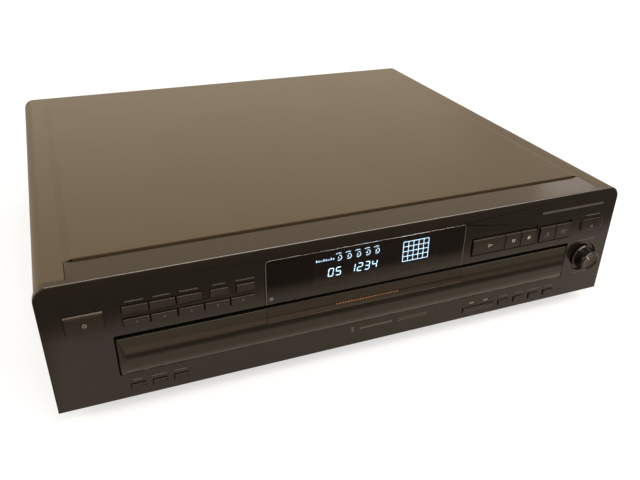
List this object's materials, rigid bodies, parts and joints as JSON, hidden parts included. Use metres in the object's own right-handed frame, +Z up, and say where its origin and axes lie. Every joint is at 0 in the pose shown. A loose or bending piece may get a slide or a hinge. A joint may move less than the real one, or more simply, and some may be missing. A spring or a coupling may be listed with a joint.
{
  "type": "multi disc cd changer",
  "caption": "Wide, low disc player with a motor-driven drawer that carries a rotating disc table, a lit display, sprung keys and a jog dial.",
  "frame": {"origin": "on the ground under the middle of the whole player", "axes": "+X to the player's right seen from the front, +Y to the back, +Z up"},
  "size_m": [0.43, 0.4, 0.1085],
  "materials": {
    "cover_paint": "satin, fine grain",
    "panel_plastic": "semi-gloss",
    "key_plastic": "semi-gloss",
    "window_acrylic": "polished",
    "zinc_steel": "satin",
    "rear_paint": "matte",
    "deck_plastic": "matte",
    "tray_plastic": "matte",
    "table_plastic": "matte",
    "gear_plastic": "natural",
    "circuit_board": "satin",
    "motor_can": "plated",
    "rod_steel": "polished",
    "belt_rubber": "matte",
    "foot_plastic": "matte",
    "pad_rubber": "matte",
    "display_glass": "polished",
    "core_iron": "varnished",
    "pickup_metal": "cast",
    "jack_brass": "plated",
    "socket_plastic": "matte",
    "screw_steel": "blackened"
  },
  "bodies": {
    "case": {"top_cover": "cover_paint", "front_panel": "panel_plastic", "display_window": "window_acrylic", "display_tube": "display_glass", "front_circuit_board": "circuit_board", "chassis": "zinc_steel", "rear_panel": "rear_paint", "feet": "foot_plastic", "foot_pads": "pad_rubber", "case_screws": "screw_steel", "mechanism_deck": "deck_plastic", "loading_motor": "motor_can", "loading_belt": "belt_rubber", "clamp_bridge": "zinc_steel", "power_transformer": "core_iron", "main_board": "circuit_board", "audio_jacks": "jack_brass", "optical_output": "socket_plastic", "cord_gland": "socket_plastic"},
    "drawer": {"drawer_tray": "tray_plastic", "drawer_front": "panel_plastic", "drawer_window_strip": "window_acrylic", "table_motor": "motor_can"},
    "carousel": {"carousel_table": "table_plastic"},
    "table_gear": {"table_drive_gear": "gear_plastic"},
    "pinion": {"loading_pinion": "gear_plastic"},
    "pulley": {"motor_pulley": "gear_plastic"},
    "drive_unit": {"drive_frame": "deck_plastic", "spindle_motor": "motor_can", "guide_rods": "rod_steel", "feed_motor": "motor_can"},
    "turntable": {"spindle_turntable": "gear_plastic"},
    "pickup": {"optical_pickup": "pickup_metal"},
    "clamp": {"clamp_puck": "gear_plastic"},
    "dial": {"jog_dial": "key_plastic"},
    "rocker": {"search_rocker": "key_plastic"},
    "power_key_body": {"power_key": "key_plastic"},
    "disc_key_1_body": {"disc_key_1": "key_plastic"},
    "disc_key_2_body": {"disc_key_2": "key_plastic"},
    "disc_key_3_body": {"disc_key_3": "key_plastic"},
    "disc_key_4_body": {"disc_key_4": "key_plastic"},
    "disc_key_5_body": {"disc_key_5": "key_plastic"},
    "mode_key_1_body": {"mode_key_1": "key_plastic"},
    "mode_key_2_body": {"mode_key_2": "key_plastic"},
    "mode_key_3_body": {"mode_key_3": "key_plastic"},
    "mode_key_4_body": {"mode_key_4": "key_plastic"},
    "mode_key_5_body": {"mode_key_5": "key_plastic"},
    "play_key_body": {"play_key": "key_plastic"},
    "pause_key_body": {"pause_key": "key_plastic"},
    "stop_key_body": {"stop_key": "key_plastic"},
    "exchange_key_body": {"exchange_key": "key_plastic"},
    "skip_key_body": {"skip_key": "key_plastic"},
    "small_key_1_body": {"small_key_1": "key_plastic"},
    "small_key_2_body": {"small_key_2": "key_plastic"},
    "small_key_3_body": {"small_key_3": "key_plastic"},
    "small_key_4_body": {"small_key_4": "key_plastic"},
    "small_key_5_body": {"small_key_5": "key_plastic"},
    "small_key_6_body": {"small_key_6": "key_plastic"},
    "small_key_7_body": {"small_key_7": "key_plastic"},
    "open_close_key_body": {"open_close_key": "key_plastic"}
  },
  "joints": [
    {"name": "drawer_slide", "type": "slide", "parent": "case", "child": "drawer", "axis": [0, -1, 0], "range_m": [0, 0.19]},
    {"name": "carousel_spin", "type": "hinge", "parent": "drawer", "child": "carousel", "pos_m": [0, -0.006, 0.0465], "axis": [0, 0, 1], "continuous": true},
    {"name": "table_gear_spin", "type": "hinge", "parent": "drawer", "child": "table_gear", "pos_m": [-0.12735, -0.13335, 0.0465], "axis": [0, 0, 1], "continuous": true},
    {"name": "pinion_spin", "type": "hinge", "parent": "case", "child": "pinion", "pos_m": [0.086, -0.15, 0.033], "axis": [0, 0, 1], "range_deg": [-910, 0]},
    {"name": "pulley_spin", "type": "hinge", "parent": "case", "child": "pulley", "pos_m": [0.041, -0.15, 0.0271], "axis": [0, 0, 1], "range_deg": [-3763, 0]},
    {"name": "drive_unit_lift", "type": "hinge", "parent": "case", "child": "drive_unit", "pos_m": [0, 0.024, 0.029], "axis": [1, 0, 0], "range_deg": [0, 11.5]},
    {"name": "turntable_spin", "type": "hinge", "parent": "drive_unit", "child": "turntable", "pos_m": [0, 0.10272, 0.03972], "axis": [0, 0.1994, 0.9799], "continuous": true},
    {"name": "pickup_slide", "type": "slide", "parent": "drive_unit", "child": "pickup", "axis": [0, -0.9799, 0.1994], "range_m": [0, 0.035]},
    {"name": "clamp_spin", "type": "hinge", "parent": "case", "child": "clamp", "pos_m": [0, 0.099, 0.0652], "axis": [0, 0, 1], "continuous": true},
    {"name": "jog_dial_spin", "type": "hinge", "parent": "case", "child": "dial", "pos_m": [0.1926, -0.19, 0.0478], "axis": [0, -1, 0], "continuous": true},
    {"name": "search_rocker_tip", "type": "hinge", "parent": "case", "child": "rocker", "pos_m": [0.09685, -0.1862, 0.0204], "axis": [0, 0, 1], "range_deg": [-2.5, 2.5], "stiffness_Nm_per_rad": 0.05},
    {"name": "power_key_press", "type": "slide", "parent": "case", "child": "power_key_body", "axis": [0, 1, 0], "range_m": [0, 0.0008], "stiffness_N_per_m": 300, "springref_m": -0.0004},
    {"name": "disc_key_1_press", "type": "slide", "parent": "case", "child": "disc_key_1_body", "axis": [0, 1, 0], "range_m": [0, 0.0008], "stiffness_N_per_m": 300, "springref_m": -0.0004},
    {"name": "disc_key_2_press", "type": "slide", "parent": "case", "child": "disc_key_2_body", "axis": [0, 1, 0], "range_m": [0, 0.0008], "stiffness_N_per_m": 300, "springref_m": -0.0004},
    {"name": "disc_key_3_press", "type": "slide", "parent": "case", "child": "disc_key_3_body", "axis": [0, 1, 0], "range_m": [0, 0.0008], "stiffness_N_per_m": 300, "springref_m": -0.0004},
    {"name": "disc_key_4_press", "type": "slide", "parent": "case", "child": "disc_key_4_body", "axis": [0, 1, 0], "range_m": [0, 0.0008], "stiffness_N_per_m": 300, "springref_m": -0.0004},
    {"name": "disc_key_5_press", "type": "slide", "parent": "case", "child": "disc_key_5_body", "axis": [0, 1, 0], "range_m": [0, 0.0008], "stiffness_N_per_m": 300, "springref_m": -0.0004},
    {"name": "mode_key_1_press", "type": "slide", "parent": "case", "child": "mode_key_1_body", "axis": [0, 1, 0], "range_m": [0, 0.0008], "stiffness_N_per_m": 300, "springref_m": -0.0004},
    {"name": "mode_key_2_press", "type": "slide", "parent": "case", "child": "mode_key_2_body", "axis": [0, 1, 0], "range_m": [0, 0.0008], "stiffness_N_per_m": 300, "springref_m": -0.0004},
    {"name": "mode_key_3_press", "type": "slide", "parent": "case", "child": "mode_key_3_body", "axis": [0, 1, 0], "range_m": [0, 0.0008], "stiffness_N_per_m": 300, "springref_m": -0.0004},
    {"name": "mode_key_4_press", "type": "slide", "parent": "case", "child": "mode_key_4_body", "axis": [0, 1, 0], "range_m": [0, 0.0008], "stiffness_N_per_m": 300, "springref_m": -0.0004},
    {"name": "mode_key_5_press", "type": "slide", "parent": "case", "child": "mode_key_5_body", "axis": [0, 1, 0], "range_m": [0, 0.0008], "stiffness_N_per_m": 300, "springref_m": -0.0004},
    {"name": "play_key_press", "type": "slide", "parent": "case", "child": "play_key_body", "axis": [0, 1, 0], "range_m": [0, 0.0008], "stiffness_N_per_m": 300, "springref_m": -0.0004},
    {"name": "pause_key_press", "type": "slide", "parent": "case", "child": "pause_key_body", "axis": [0, 1, 0], "range_m": [0, 0.0008], "stiffness_N_per_m": 300, "springref_m": -0.0004},
    {"name": "stop_key_press", "type": "slide", "parent": "case", "child": "stop_key_body", "axis": [0, 1, 0], "range_m": [0, 0.0008], "stiffness_N_per_m": 300, "springref_m": -0.0004},
    {"name": "exchange_key_press", "type": "slide", "parent": "case", "child": "exchange_key_body", "axis": [0, 1, 0], "range_m": [0, 0.0008], "stiffness_N_per_m": 300, "springref_m": -0.0004},
    {"name": "skip_key_press", "type": "slide", "parent": "case", "child": "skip_key_body", "axis": [0, 1, 0], "range_m": [0, 0.0008], "stiffness_N_per_m": 300, "springref_m": -0.0004},
    {"name": "small_key_1_press", "type": "slide", "parent": "case", "child": "small_key_1_body", "axis": [0, 1, 0], "range_m": [0, 0.0008], "stiffness_N_per_m": 300, "springref_m": -0.0004},
    {"name": "small_key_2_press", "type": "slide", "parent": "case", "child": "small_key_2_body", "axis": [0, 1, 0], "range_m": [0, 0.0008], "stiffness_N_per_m": 300, "springref_m": -0.0004},
    {"name": "small_key_3_press", "type": "slide", "parent": "case", "child": "small_key_3_body", "axis": [0, 1, 0], "range_m": [0, 0.0008], "stiffness_N_per_m": 300, "springref_m": -0.0004},
    {"name": "small_key_4_press", "type": "slide", "parent": "case", "child": "small_key_4_body", "axis": [0, 1, 0], "range_m": [0, 0.0008], "stiffness_N_per_m": 300, "springref_m": -0.0004},
    {"name": "small_key_5_press", "type": "slide", "parent": "case", "child": "small_key_5_body", "axis": [0, 1, 0], "range_m": [0, 0.0008], "stiffness_N_per_m": 300, "springref_m": -0.0004},
    {"name": "small_key_6_press", "type": "slide", "parent": "case", "child": "small_key_6_body", "axis": [0, 1, 0], "range_m": [0, 0.0008], "stiffness_N_per_m": 300, "springref_m": -0.0004},
    {"name": "small_key_7_press", "type": "slide", "parent": "case", "child": "small_key_7_body", "axis": [0, 1, 0], "range_m": [0, 0.0008], "stiffness_N_per_m": 300, "springref_m": -0.0004},
    {"name": "open_close_key_press", "type": "slide", "parent": "case", "child": "open_close_key_body", "axis": [0, 1, 0], "range_m": [0, 0.0008], "stiffness_N_per_m": 300, "springref_m": -0.0004}
  ],
  "couplings": [
    {"joint": "table_gear_spin", "follows": "carousel_spin", "ratio": -8},
    {"joint": "pinion_spin", "follows": "drawer_slide", "rad_per_m": -83.333},
    {"joint": "pulley_spin", "follows": "drawer_slide", "rad_per_m": -345.24}
  ]
}
